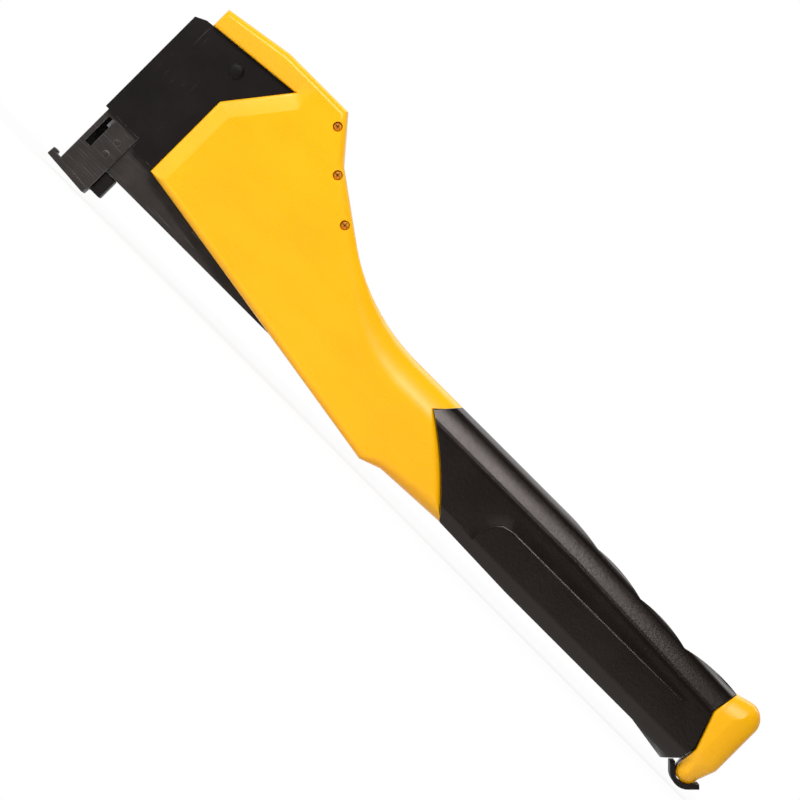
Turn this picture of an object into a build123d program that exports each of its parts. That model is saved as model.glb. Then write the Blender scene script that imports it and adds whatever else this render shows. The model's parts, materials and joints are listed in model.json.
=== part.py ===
from build123d import *
import math
import os

os.makedirs("parts", exist_ok=True)

# Hammer tacker. The handle lies along X, with the striking head at X = 0 and the butt at +X.
# Z points away from the surface that is struck, and Y runs across the tool.
# The origin is the centre of the striking foot. Sizes are millimetres, angles degrees.

# Clearances
seat_gap = 0.1
slide_gap = 0.3
frame_play = 0.5
running_gap = 0.05
butt_gap = 0.5
tail_gap = 1.7

# Staples and sheet steel
staple_crown = 10.6
staple_leg = 10.0
staple_wire = 0.9
staple_pitch = 1.27
staple_count = 84
sheet = 1.1
nose_sheet = 1.2
frame_sheet = 1.2

# Widths across Y
body_width = 28.0
body_wall = 2.5
grip_wall = 2.5
channel_inner = staple_crown + 2 * slide_gap
channel_width = channel_inner + 2 * sheet
nose_width = channel_width + 2 * nose_sheet
frame_inner = nose_width + 2 * frame_play
frame_width = frame_inner + 2 * frame_sheet
head_bay = frame_width + 4 * seat_gap
body_bay = body_width - 2 * body_wall
core_width = body_width - 2 * grip_wall
core_bay = core_width - 2 * body_wall

# Yellow body, seen from the side
head_top = 92.1
strip_front = 0.6
strip_front_drop = 4.5
strip_front_depth = 8.4
strip_peak = 28.9
strip_tip_depth = 8.9
spine_start = 59.7
spine_knee = (73.0, 76.6)
neck_start = (95.0, 60.7)
neck_end = 145.0
window_edge = 22.8
window_knee = 60.6
window_tip = 40.6
body_corner = 23.4
belly = (155.4, 2.3)
belly_rise = (163.8, 5.3)
body_round = 3.0
screw_spots = ((61.0, 85.3), (74.0, 72.3), (89.3, 60.8))
screw_boss = 2.7
screw_shank = 1.1
screw_hole = 1.3
screw_head = 1.8
screw_head_depth = 1.6
screw_sink = 0.8

# Grip
handle_top = 43.7
grip_bottom = 5.6
grip_heel = 6.8
grip_tip = (162.3, 35.3)
grip_top_front = 169.5
grip_heel_front = 193.8
grip_bow = 1.6
grip_heel_run = 230.0
grip_wave_start = 228.0
wave_notches = ((22.6, 38.6), (47.7, 40.0), (72.5, 42.0))
wave_crests = (1.2, 1.3, 1.2, 0.3)
butt = 316.0
butt_drop = 3.4
flare_depth = 2.8
flare_run = 18.0
tail_corner = 8.3
grip_round = 9.0
core_top_wall = 4.2
core_knee = 241.0
core_chamfer = 4.0
core_bottom = 8.0
core_floor = 1.7
neck_bay = 100.0
neck_bay_top = 50.0
neck_roof = (125.0, 42.6)
core_start = 150.0
core_ramp = 35.0
core_tail_drop = 3.6

# Head frame and driver
frame_front = -6.8
frame_foot = 28.9
frame_chamfer = 4.2
frame_rear = 44.0
frame_skirt = 24.6
frame_skirt_start = 11.5
blade_x = -1.0
blade_thick = 1.2
blade_clear = 0.4
blade_pin_radius = 1.5
blade_pin_length = 9.0
blade_cover = 3.75
block_bottom = 61.0
block_rear = 30.0
block_height = 15.0
bumper_thick = 3.0
rivet_spot = (19.0, 73.0)
rivet_radius = 2.0
rivet_head = 3.0
rivet_head_height = 0.8
dowel_x = 38.0
dowel_heights = (56.0, 70.0)
dowel_radius = 2.0
dowel_seat = 1.6

# Magazine
magazine_floor = 11.4
channel_height = 14.6
channel_front = 0.3
channel_overhang = 3.0
pivot_setback = 8.0
pivot_height = 17.0
pivot_radius = 2.0
pivot_boss = 4.5
nose_front = -5.3
nose_rear = 10.6
nose_top = 33.0
nose_window = (-3.2, -0.2)
nose_window_heights = (14.0, 27.0)
flush_rivet = 1.25
nose_rivet_x = 6.0
nose_rivet_heights = (16.0, 22.0)
foot_length = 20.0
foot_width = 17.0
foot_thick = 2.6
foot_tilt = 4.0
lip_length = 2.0
lip_height = 1.0
heel_length = 5.2
heel_width = 12.0
heel_bottom = 2.3
rail_sheet = 0.9
rail_rear_gap = 16.0
rail_slit = 2.8

# Return spring and its guide post
post_x = 58.0
post_radius = 2.5
post_head = 4.5
post_head_height = 2.5
bridge_length = 16.0
bridge_thick = 2.0
bridge_depth = 8.0
bridge_rivet_step = 8.0
seat_top = 58.0
seat_thick = 2.5
seat_front = 46.8
seat_rear = 70.0
seat_slot = (55.0, 64.5)
seat_slot_width = 6.0
return_wire = 1.5
return_radius = 5.2
return_turns = 4.5

# Pusher
rod_radius = 1.7
rod_head = 2.5
rod_head_length = 2.0
rod_height = 17.5
rod_gap = 0.08
follower_length = 20.0
follower_top = 24.6
feed_wire = 0.6
feed_play = 0.4
feed_pitch = 4.4
plug_length = 20.0
plug_setback = 11.0
rod_cover = 5.0

# Butt cap and latch
cap_width = 27.0
cap_rear = 18.7
cap_crown = 42.2
cap_shoulder = 35.2
brow_reach = 4.0
bulge_reach = 1.7
bulge_height = 29.8
waist_reach = 7.05
waist_height = 14.7
cap_hip = 14.0
lobe_radius = 4.6
lobe_reach = 11.3
lobe_height = 6.6
latch_pin_radius = 1.5
latch_pin_near = 6.0
latch_sheet = 2.0
latch_width = 19.0
latch_tongue = 5.0
latch_eye = 3.2
latch_front_arm = 4.0
latch_rear_arm = 4.2
cap_screw_height = 19.0
cap_screw_radius = 2.0
cap_screw_head = 3.5
cap_screw_head_height = 2.2

# Places worked out from the sizes above
strip_under_front = head_top - strip_front_drop - strip_front_depth
strip_under_tip = head_top - strip_tip_depth
strip_slope = (strip_under_tip - strip_under_front) / (window_tip - strip_front)
channel_end = butt + channel_overhang
channel_floor = magazine_floor + sheet
channel_top = magazine_floor + channel_height
leg_bottom = channel_floor + seat_gap
crown_bottom = leg_bottom + staple_leg
crown_top = crown_bottom + staple_wire
strip_start = channel_front + seat_gap
strip_end = strip_start + staple_count * staple_pitch
blade_bottom = crown_top + blade_clear
block_top = block_bottom + block_height
pivot_x = butt - pivot_setback
rail_width = staple_crown - 2 * staple_wire - 2 * seat_gap
rail_top = crown_bottom - seat_gap
rail_end = channel_end - rail_rear_gap - seat_gap
rail_bay = rail_width - 2 * rail_sheet
feed_radius = rod_radius + feed_play + feed_wire / 2
follower_front = strip_end + slide_gap
follower_rear = follower_front + follower_length
plug_front = butt - plug_setback
plug_rear = plug_front + plug_length
core_top = handle_top - core_top_wall
core_inside = core_bottom + core_floor
lobe_x = butt + lobe_reach
grip_slant = math.atan2(grip_heel_front - grip_tip[0], grip_tip[1] - grip_heel)
grip_bow_spot = (
    (grip_tip[0] + grip_heel_front) / 2 + grip_bow * math.cos(grip_slant),
    (grip_tip[1] + grip_heel) / 2 + grip_bow * math.sin(grip_slant),
)
blade_width = staple_crown - 2 * seat_gap
post_top = seat_top + running_gap


def block(x, width, z, mode=Mode.ADD):
    """Box from x[0] to x[1] and from z[0] to z[1], centred across the tool."""
    with Locations((sum(x) / 2, 0, sum(z) / 2)):
        Box(x[1] - x[0], width, z[1] - z[0], mode=mode)


def cross_rod(x, z, radius, y, mode=Mode.ADD):
    """Round bar across the tool, from y[0] to y[1]."""
    with Locations(Location((x, sum(y) / 2, z), (90, 0, 0))):
        Cylinder(radius, y[1] - y[0], mode=mode)


def long_rod(z, radius, x, mode=Mode.ADD):
    """Round bar along the tool, from x[0] to x[1]."""
    with Locations(Location((sum(x) / 2, 0, z), (0, 90, 0))):
        Cylinder(radius, x[1] - x[0], mode=mode)


def both_sides(y):
    """The same span of Y on the near side and on the far side."""
    return ((-y[1], -y[0]), y)


def coil(radius, wire, turns, length, base):
    """Helical spring along the Z of `base`, as pairs of arcs that share the helix's tangents."""
    rise = length - wire
    steps = round(2 * turns)
    climb = rise / (2 * math.pi * turns)

    def place(step):
        angle = math.pi * step
        out = base.x_dir * math.cos(angle) + base.y_dir * math.sin(angle)
        round_way = base.y_dir * math.cos(angle) - base.x_dir * math.sin(angle)
        spot = base.origin + out * radius + base.z_dir * (wire / 2 + climb * angle)
        way = (round_way * radius + base.z_dir * climb).normalized()
        return spot, way

    with BuildPart() as spring:
        with BuildLine() as path:
            for step in range(steps):
                start, start_way = place(step)
                end, end_way = place(step + 1)
                chord = end - start
                a = 2 * (1 - start_way.dot(end_way))
                b = 2 * chord.dot(start_way + end_way)
                reach = (-b + math.sqrt(b * b + 4 * a * chord.dot(chord))) / (2 * a)
                first = start + start_way * reach
                last = end - end_way * reach
                middle = (first + last) * 0.5
                TangentArc(start, middle, tangent=start_way)
                TangentArc(middle, end, tangent=last - first)
        with BuildSketch(Plane(path.line @ 0, z_dir=path.line % 0)):
            Circle(wire / 2)
        sweep(path=path.line)
    marks = [path.line @ (n / (12 * turns)) for n in range(round(12 * turns) + 1)]
    least = min((p - q).length for n, p in enumerate(marks) for q in marks[n + 6:]) - wire
    print(f"coil of {turns} turns: least gap to itself {least:.2f} mm")
    return spring.part


def handle_core(rear, gap):
    """The handle's core with its long top edges chamfered, grown by gap all round."""
    side = core_width / 2 + gap
    with BuildPart() as core:
        with BuildSketch(Plane.XZ):
            Polygon(
                (core_start, core_bottom - gap),
                (rear, core_bottom - gap),
                (rear, core_top - core_tail_drop + gap),
                (core_knee, core_top + gap),
                (core_start, core_top + gap),
                align=None,
            )
        extrude(amount=side, both=True)
        top_faces = core.faces().filter_by(lambda face: face.normal_at().Z > math.cos(math.pi / 4))
        long_edges = top_faces.edges().filter_by(lambda edge: abs(edge.center().Y) > side - seat_gap)
        chamfer(long_edges, core_chamfer)
    return core.part


def half_shell():
    """Near half of the yellow body with its handle core, before the screw holes."""
    half = body_width / 2
    plate = 2 * body_round
    with BuildPart() as outer_face:
        with BuildSketch(Plane.XZ) as side:
            with BuildLine():
                Polyline(
                    (grip_heel_front, grip_heel),
                    belly_rise,
                    belly,
                    (window_edge, body_corner),
                    (window_edge, window_knee),
                    (window_tip, strip_under_tip),
                    (strip_front, strip_under_front),
                    (strip_front, head_top - strip_front_drop),
                    (strip_peak, head_top),
                    (spine_start, head_top),
                    spine_knee,
                    neck_start,
                )
                TangentArc((neck_end, handle_top), neck_start, tangent=(-1, 0))
                Polyline((neck_end, handle_top), (grip_top_front, handle_top), grip_tip)
                ThreePointArc(grip_tip, grip_bow_spot, (grip_heel_front, grip_heel))
            make_face()
        extrude(amount=plate)
        fillet(outer_face.faces().sort_by(Axis.Y)[0].edges(), body_round)
    with BuildPart() as shell:
        with Locations((0, plate - half, 0)):
            add(outer_face.part)
        with BuildSketch(Plane.XZ):
            add(side.sketch)
        extrude(amount=half - plate)
        with BuildSketch(Plane.XZ):
            add(side.sketch)
            offset(amount=-body_wall, mode=Mode.REPLACE)
            with Locations((frame_rear + slide_gap, 0)):
                bay_length = neck_bay - frame_rear
                Rectangle(bay_length, 2 * head_top, align=(Align.MIN, Align.CENTER), mode=Mode.INTERSECT)
        extrude(amount=body_bay / 2, mode=Mode.SUBTRACT)
        add(handle_core(butt, 0).split(Plane.XZ, keep=Keep.TOP))
        with BuildSketch(Plane.XZ):
            Polygon(
                (neck_bay, core_inside),
                (butt + butt_gap, core_inside),
                (butt + butt_gap, core_top - core_tail_drop - body_wall),
                (core_knee, core_top - body_wall),
                (core_start + core_ramp, core_top - body_wall),
                (core_start, handle_top - body_wall),
                neck_roof,
                (neck_bay, neck_bay_top),
                align=None,
            )
        extrude(amount=core_bay / 2, mode=Mode.SUBTRACT)
        with BuildSketch(Plane.XZ):
            Polygon(
                (frame_front, -head_top),
                (frame_rear + 2 * slide_gap, -head_top),
                (frame_rear + 2 * slide_gap, strip_under_tip + strip_slope * (frame_rear - window_tip)),
                (frame_front, strip_under_front + strip_slope * (frame_front - strip_front)),
                align=None,
            )
        extrude(amount=head_bay / 2, mode=Mode.SUBTRACT)
        with BuildSketch(Plane.XZ):
            Polygon(
                (frame_rear, -head_top),
                (core_start - core_ramp, -head_top),
                (core_start - core_ramp, channel_floor),
                (frame_rear, body_corner),
                align=None,
            )
        extrude(amount=core_bay / 2, mode=Mode.SUBTRACT)
        for x, z in screw_spots:
            cross_rod(x, z, screw_boss, (-half + screw_sink + screw_head_depth, 0))
        cross_rod(pivot_x, pivot_height, pivot_boss, (-core_width / 2, -channel_width / 2 - slide_gap))
        pivot_hole = (-core_width / 2 + sheet, 0)
        cross_rod(pivot_x, pivot_height, pivot_radius + running_gap, pivot_hole, Mode.SUBTRACT)
        for z in dowel_heights:
            cross_rod(dowel_x, z, dowel_radius, (-head_bay / 2 - dowel_seat, 0), Mode.SUBTRACT)
        seat_span = (seat_front - seat_gap, seat_rear + seat_gap)
        seat_level = (seat_top - seat_thick - seat_gap, seat_top + seat_gap)
        block(seat_span, body_bay + 2 * sheet + 2 * seat_gap, seat_level, Mode.SUBTRACT)
    return shell.part


# Yellow body shells, left (near) and right
shell_blank = half_shell()
with BuildPart() as body_shell_left:
    add(shell_blank)
    for x, z in screw_spots:
        cross_rod(x, z, screw_hole, (-body_width / 2, 0), Mode.SUBTRACT)
        head_seat = -body_width / 2 + screw_sink + screw_head_depth
        cross_rod(x, z, screw_head + seat_gap, (-body_width / 2, head_seat), Mode.SUBTRACT)
body_shell_left.part.label = "body_shell_left"
export_step(body_shell_left.part, "parts/body_shell_left.step")

with BuildPart() as body_shell_right:
    add(mirror(shell_blank, about=Plane.XZ))
    for x, z in screw_spots:
        cross_rod(x, z, screw_shank, (0, body_width / 2 - body_wall), Mode.SUBTRACT)
body_shell_right.part.label = "body_shell_right"
export_step(body_shell_right.part, "parts/body_shell_right.step")

# Screws that clamp the two shells along the spine
with BuildPart() as body_screws:
    for x, z in screw_spots:
        head_face = -body_width / 2 + screw_sink
        cross_rod(x, z, screw_head, (head_face, head_face + screw_head_depth))
        cross_rod(x, z, screw_shank, (head_face + screw_head_depth, body_width / 2 - body_wall))
body_screws.part.label = "body_screws"
export_step(body_screws.part, "parts/body_screws.step")

# Rubber grip over the handle core, with an arrow-shaped front and three finger waves on top
wave_ends = [(butt + brow_reach - butt_gap, handle_top - butt_drop)]
wave_ends += [(butt - setback, height) for setback, height in wave_notches]
wave_ends.append((grip_wave_start, handle_top))
with BuildPart() as grip_sleeve:
    with BuildSketch(Plane.XZ):
        with BuildLine():
            Polyline(
                (grip_wave_start, handle_top),
                (grip_top_front + seat_gap, handle_top),
                (grip_tip[0] + seat_gap, grip_tip[1]),
            )
            ThreePointArc(
                (grip_tip[0] + seat_gap, grip_tip[1]),
                (grip_bow_spot[0] + seat_gap, grip_bow_spot[1]),
                (grip_heel_front + seat_gap, grip_heel),
            )
            Polyline(
                (grip_heel_front + seat_gap, grip_heel),
                (grip_heel_run, grip_bottom),
                (butt - flare_run, grip_bottom),
                (butt, flare_depth),
                (butt + waist_reach - tail_gap, tail_corner),
                (butt + waist_reach - tail_gap / 2, waist_height),
                (butt + bulge_reach - butt_gap, bulge_height),
                (butt + brow_reach - butt_gap, handle_top - butt_drop),
            )
            for start, end, crest in zip(wave_ends, wave_ends[1:], wave_crests):
                middle = ((start[0] + end[0]) / 2, (start[1] + end[1]) / 2 + crest)
                ThreePointArc(start, middle, end)
        make_face()
    extrude(amount=body_width / 2, both=True)
    with BuildSketch(Plane.YZ):
        with Locations((0, (handle_top + flare_depth) / 2)):
            RectangleRounded(body_width, handle_top - flare_depth, grip_round)
    extrude(amount=2 * butt, mode=Mode.INTERSECT)
    add(handle_core(plug_rear, seat_gap), mode=Mode.SUBTRACT)
grip_sleeve.part.label = "grip_sleeve"
export_step(grip_sleeve.part, "parts/grip_sleeve.step")

# Steel head frame: a folded plate, open below and behind
frame_skin = frame_front + frame_sheet
frame_crown = strip_under_front - seat_gap
frame_chamfer_end = frame_front + frame_chamfer
roof_front = frame_crown + strip_slope * (frame_chamfer_end - strip_front)
roof_rear = frame_crown + strip_slope * (frame_rear - strip_front)
with BuildPart() as head_frame:
    with BuildSketch(Plane.XZ):
        Polygon(
            (frame_front, frame_foot),
            (nose_rear, frame_foot),
            (frame_skirt_start, frame_skirt),
            (frame_rear, frame_skirt),
            (frame_rear, roof_rear),
            (frame_chamfer_end, roof_front),
            (frame_front, roof_front - frame_chamfer / 2),
            align=None,
        )
    extrude(amount=frame_width / 2, both=True)
    with BuildSketch(Plane.XZ):
        Polygon(
            (frame_skin, 0),
            (frame_rear, 0),
            (frame_rear, roof_rear - frame_sheet),
            (frame_chamfer_end, roof_front - frame_sheet),
            (frame_skin, roof_front - (frame_chamfer + frame_sheet) / 2),
            align=None,
        )
    extrude(amount=frame_inner / 2, both=True, mode=Mode.SUBTRACT)
    cross_rod(*rivet_spot, rivet_radius, (-frame_width, frame_width), Mode.SUBTRACT)
    for z in dowel_heights:
        cross_rod(dowel_x, z, dowel_radius, (-frame_width, frame_width), Mode.SUBTRACT)
head_frame.part.label = "head_frame"
export_step(head_frame.part, "parts/head_frame.step")

# Dowels that key the head frame into both shells
with BuildPart() as frame_dowels:
    for z in dowel_heights:
        cross_rod(dowel_x, z, dowel_radius, (-head_bay / 2 - dowel_seat, head_bay / 2 + dowel_seat))
frame_dowels.part.label = "frame_dowels"
export_step(frame_dowels.part, "parts/frame_dowels.step")

# Driver block riveted inside the frame, the blade that it holds, and the pin through both
blade_span = (blade_x - blade_thick / 2, blade_x + blade_thick / 2)
blade_slot = (blade_span[0] - running_gap, blade_span[1] + running_gap)
blade_top = block_top - blade_cover
blade_pin_height = (block_bottom + blade_top) / 2
blade_pin_span = (frame_skin + seat_gap, blade_x + blade_pin_length)
with BuildPart() as driver_block:
    block((frame_skin + seat_gap, block_rear), frame_inner - 2 * seat_gap, (block_bottom, block_top))
    block(blade_slot, blade_width + 2 * running_gap, (block_bottom, blade_top), Mode.SUBTRACT)
    cross_rod(*rivet_spot, rivet_radius, (-frame_width, frame_width), Mode.SUBTRACT)
    long_rod(blade_pin_height, blade_pin_radius, blade_pin_span, Mode.SUBTRACT)
driver_block.part.label = "driver_block"
export_step(driver_block.part, "parts/driver_block.step")

with BuildPart() as driver_blade:
    block(blade_span, blade_width, (blade_bottom, blade_top))
    long_rod(blade_pin_height, blade_pin_radius, blade_pin_span, Mode.SUBTRACT)
driver_blade.part.label = "driver_blade"
export_step(driver_blade.part, "parts/driver_blade.step")

with BuildPart() as blade_pin:
    long_rod(blade_pin_height, blade_pin_radius, blade_pin_span)
blade_pin.part.label = "blade_pin"
export_step(blade_pin.part, "parts/blade_pin.step")

# Rivet through the frame and the driver block, with a low head on each side
with BuildPart() as head_rivet:
    cross_rod(*rivet_spot, rivet_radius, (-frame_width / 2, frame_width / 2))
    for y in both_sides((frame_width / 2, frame_width / 2 + rivet_head_height)):
        cross_rod(*rivet_spot, rivet_head, y)
head_rivet.part.label = "head_rivet"
export_step(head_rivet.part, "parts/head_rivet.step")

# Rubber bumper under the driver block, where the nose stops
bumper_slot = (blade_span[0] - slide_gap, blade_span[1] + slide_gap)
with BuildPart() as bumper_pad:
    block((frame_skin + seat_gap, block_rear), nose_width, (block_bottom - bumper_thick, block_bottom))
    block(bumper_slot, blade_width + 2 * slide_gap, (0, head_top), Mode.SUBTRACT)
bumper_pad.part.label = "bumper_pad"
export_step(bumper_pad.part, "parts/bumper_pad.step")

# Plate across the body that the return spring pushes against, slotted for the guide post
with BuildPart() as spring_seat:
    block((seat_front, seat_rear), body_bay + 2 * sheet, (seat_top - seat_thick, seat_top))
    block(seat_slot, seat_slot_width, (0, head_top), Mode.SUBTRACT)
spring_seat.part.label = "spring_seat"
export_step(spring_seat.part, "parts/spring_seat.step")

# Return spring round the guide post
bridge_top = channel_top + bridge_thick
return_length = seat_top - seat_thick - bridge_top - 2 * seat_gap
return_base = Plane((post_x, 0, bridge_top + seat_gap))
return_spring = coil(return_radius, return_wire, return_turns, return_length, return_base)
return_spring.label = "return_spring"
export_step(return_spring, "parts/return_spring.step")

# Magazine channel, open on top, hung on two trunnions near the butt
bridge_rivet_height = channel_top - bridge_depth / 2
bridge_rivet_spots = [post_x - bridge_rivet_step / 2, post_x + bridge_rivet_step / 2]
with BuildPart() as magazine_channel:
    block((channel_front, channel_end), channel_width, (magazine_floor, channel_top))
    block((channel_front, channel_end), channel_inner, (channel_floor, channel_top), Mode.SUBTRACT)
    cross_rod(pivot_x, pivot_height, pivot_radius, (-channel_width, channel_width), Mode.SUBTRACT)
    for z in nose_rivet_heights:
        cross_rod(nose_rivet_x, z, flush_rivet, (-channel_width, channel_width), Mode.SUBTRACT)
    for x in bridge_rivet_spots:
        cross_rod(x, bridge_rivet_height, flush_rivet, (-channel_width, channel_width), Mode.SUBTRACT)
magazine_channel.part.label = "magazine_channel"
export_step(magazine_channel.part, "parts/magazine_channel.step")

with BuildPart() as pivot_pins:
    for y in both_sides((channel_inner / 2, core_width / 2 - sheet - seat_gap)):
        cross_rod(pivot_x, pivot_height, pivot_radius, y)
pivot_pins.part.label = "pivot_pins"
export_step(pivot_pins.part, "parts/pivot_pins.step")

# Nose: wraps the front of the channel and holds the slot that the blade drives staples down,
# with a window on the near side for clearing a jam
foot_lean = math.radians(foot_tilt)
foot_plane = Plane((0, 0, 0), z_dir=(math.sin(foot_lean), 0, math.cos(foot_lean)))
drive_slot = (nose_front + nose_sheet, channel_front)
with BuildPart() as nose_guide:
    block((nose_front, nose_rear), nose_width, (-foot_thick, nose_top))
    block((channel_front, nose_rear), channel_width, (magazine_floor, nose_top), Mode.SUBTRACT)
    block(drive_slot, channel_inner, (-foot_length, nose_top), Mode.SUBTRACT)
    with Locations((sum(nose_window) / 2, -nose_width / 2, sum(nose_window_heights) / 2)):
        Box(nose_window[1] - nose_window[0], nose_width, nose_window_heights[1] - nose_window_heights[0],
            mode=Mode.SUBTRACT)
    for z in nose_rivet_heights:
        cross_rod(nose_rivet_x, z, flush_rivet, (-nose_width, nose_width), Mode.SUBTRACT)
    split(bisect_by=foot_plane.offset(foot_thick), keep=Keep.TOP)
nose_guide.part.label = "nose_guide"
export_step(nose_guide.part, "parts/nose_guide.step")

with BuildPart() as nose_rivets:
    for z in nose_rivet_heights:
        for y in both_sides((channel_inner / 2, nose_width / 2)):
            cross_rod(nose_rivet_x, z, flush_rivet, y)
nose_rivets.part.label = "nose_rivets"
export_step(nose_rivets.part, "parts/nose_rivets.step")

# Striking foot under the nose, with a small raised lip in front
with BuildPart() as striking_foot:
    with BuildSketch(foot_plane):
        Rectangle(foot_length, foot_width)
    extrude(amount=foot_thick)
    with BuildSketch(foot_plane.offset(foot_thick)):
        with Locations((-foot_length / 2, 0)):
            Rectangle(lip_length, foot_width, align=(Align.MIN, Align.CENTER))
    extrude(amount=lip_height)
    block(drive_slot, channel_inner, (-foot_length, foot_length), Mode.SUBTRACT)
striking_foot.part.label = "striking_foot"
export_step(striking_foot.part, "parts/striking_foot.step")

with BuildPart() as heel_block:
    heel_front = nose_rear + seat_gap
    block((heel_front, heel_front + heel_length), heel_width, (heel_bottom, magazine_floor))
heel_block.part.label = "heel_block"
export_step(heel_block.part, "parts/heel_block.step")

# Rail that the staples straddle, slit along its top behind the staples for the follower
with BuildPart() as staple_rail:
    block((strip_start, rail_end), rail_width, (channel_floor, rail_top))
    block((strip_start, rail_end), rail_bay, (channel_floor, rail_top - rail_sheet), Mode.SUBTRACT)
    block((strip_end, rail_end), rail_slit, (channel_floor, rail_top), Mode.SUBTRACT)
staple_rail.part.label = "staple_rail"
export_step(staple_rail.part, "parts/staple_rail.step")

with BuildPart() as staple_strip:
    block((strip_start, strip_end), staple_crown, (leg_bottom, crown_top))
    between_legs = staple_crown - 2 * staple_wire
    block((strip_start, strip_end), between_legs, (leg_bottom, crown_bottom), Mode.SUBTRACT)
staple_strip.part.label = "staple_strip"
export_step(staple_strip.part, "parts/staple_strip.step")

# Bridge over the channel that carries the guide post
bridge_span = (post_x - bridge_length / 2, post_x + bridge_length / 2)
with BuildPart() as lift_bridge:
    block(bridge_span, nose_width, (channel_top - bridge_depth, bridge_top))
    block(bridge_span, channel_width, (channel_top - bridge_depth, channel_top), Mode.SUBTRACT)
    with Locations((post_x, 0, bridge_top)):
        Hole(post_radius, depth=bridge_thick)
    for x in bridge_rivet_spots:
        cross_rod(x, bridge_rivet_height, flush_rivet, (-nose_width, nose_width), Mode.SUBTRACT)
lift_bridge.part.label = "lift_bridge"
export_step(lift_bridge.part, "parts/lift_bridge.step")

with BuildPart() as bridge_rivets:
    for x in bridge_rivet_spots:
        for y in both_sides((channel_inner / 2, nose_width / 2)):
            cross_rod(x, bridge_rivet_height, flush_rivet, y)
bridge_rivets.part.label = "bridge_rivets"
export_step(bridge_rivets.part, "parts/bridge_rivets.step")

with BuildPart() as guide_post:
    with Locations((post_x, 0, channel_top)):
        Cylinder(post_radius, post_top - channel_top, align=(Align.CENTER, Align.CENTER, Align.MIN))
    with Locations((post_x, 0, post_top)):
        Cylinder(post_head, post_head_height, align=(Align.CENTER, Align.CENTER, Align.MIN))
guide_post.part.label = "guide_post"
export_step(guide_post.part, "parts/guide_post.step")

# Follower: a saddle over the rail with a foot inside it that slides on the rod
follower_span = (follower_front, follower_rear)
foot_top = rail_top - rail_sheet - 2 * slide_gap
with BuildPart() as follower:
    block(follower_span, staple_crown - 2 * seat_gap, (leg_bottom + slide_gap, follower_top))
    block(follower_span, rail_width + 2 * slide_gap, (leg_bottom, rail_top + slide_gap), Mode.SUBTRACT)
    block(follower_span, rail_slit - 2 * slide_gap, (rod_height, rail_top + slide_gap))
    block(follower_span, rail_bay - 4 * slide_gap, (2 * rod_height - foot_top, foot_top))
    long_rod(rod_height, rod_radius + rod_gap, follower_span, Mode.SUBTRACT)
follower.part.label = "follower"
export_step(follower.part, "parts/follower.step")

# Pusher rod with its stop head, the feed spring on it, and the plug that closes the channel
rod_front = follower_front - rod_head_length - slide_gap
rod_rear = plug_rear - rod_cover
with BuildPart() as pusher_rod:
    long_rod(rod_height, rod_radius, (rod_front, rod_rear))
    long_rod(rod_height, rod_head, (rod_front, rod_front + rod_head_length))
pusher_rod.part.label = "pusher_rod"
export_step(pusher_rod.part, "parts/pusher_rod.step")

feed_length = plug_front - follower_rear - 2 * seat_gap
feed_base = Plane((follower_rear + seat_gap, 0, rod_height), z_dir=(1, 0, 0))
feed_turns = round(feed_length / feed_pitch)
feed_spring = coil(feed_radius, feed_wire, feed_turns, feed_length, feed_base)
feed_spring.label = "feed_spring"
export_step(feed_spring, "parts/feed_spring.step")

plug_width = channel_inner - 2 * slide_gap
plug_level = (channel_floor + slide_gap, channel_top - 2 * slide_gap)
with BuildPart() as tail_plug:
    block((plug_front, plug_rear), plug_width, plug_level)
    long_rod(rod_height, rod_radius, (plug_front, rod_rear), Mode.SUBTRACT)
tail_plug.part.label = "tail_plug"
export_step(tail_plug.part, "parts/tail_plug.step")

# Yellow butt cap with a round lobe below that carries the latch
cap_back = butt + cap_rear
pin_span = (-latch_pin_near, latch_width / 2)
with BuildPart() as end_cap:
    with BuildSketch(Plane.XZ):
        with BuildLine():
            Polyline(
                (butt + brow_reach, handle_top - butt_drop),
                (butt + bulge_reach, bulge_height),
                (butt + waist_reach, waist_height),
                (lobe_x - lobe_radius, lobe_height),
            )
            ThreePointArc(
                (lobe_x - lobe_radius, lobe_height),
                (lobe_x, lobe_height - lobe_radius),
                (lobe_x + lobe_radius, lobe_height),
            )
            Polyline((lobe_x + lobe_radius, lobe_height), (cap_back, cap_hip), (cap_back, cap_shoulder))
            RadiusArc((cap_back, cap_shoulder), (lobe_x, cap_crown), -(cap_back - lobe_x))
            Line((lobe_x, cap_crown), (butt + brow_reach, handle_top - butt_drop))
        make_face()
    extrude(amount=cap_width / 2, both=True)
    with BuildSketch(Plane.YZ):
        with Locations((0, (cap_crown + flare_depth) / 2)):
            RectangleRounded(cap_width, cap_crown + flare_depth, grip_round)
    extrude(amount=2 * butt, mode=Mode.INTERSECT)
    slot_span = (lobe_x - 2 * lobe_radius, lobe_x + 2 * lobe_radius)
    slot_top = lobe_height + latch_eye + slide_gap
    block(slot_span, latch_tongue + 2 * slide_gap, (-cap_hip, slot_top), Mode.SUBTRACT)
    block((butt, plug_rear), plug_width, plug_level, Mode.SUBTRACT)
    cross_rod(lobe_x, lobe_height, latch_pin_radius, pin_span, Mode.SUBTRACT)
    long_rod(cap_screw_height, cap_screw_radius, (plug_rear, 2 * cap_back), Mode.SUBTRACT)
    sink = (cap_back - cap_screw_head_height - seat_gap, 2 * cap_back)
    long_rod(cap_screw_height, cap_screw_head + seat_gap, sink, Mode.SUBTRACT)
end_cap.part.label = "end_cap"
export_step(end_cap.part, "parts/end_cap.step")

with BuildPart() as cap_screw:
    screw_base = cap_back - cap_screw_head_height
    long_rod(cap_screw_height, cap_screw_radius, (plug_rear, screw_base))
    long_rod(cap_screw_height, cap_screw_head, (screw_base, cap_back))
cap_screw.part.label = "cap_screw"
export_step(cap_screw.part, "parts/cap_screw.step")

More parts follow.
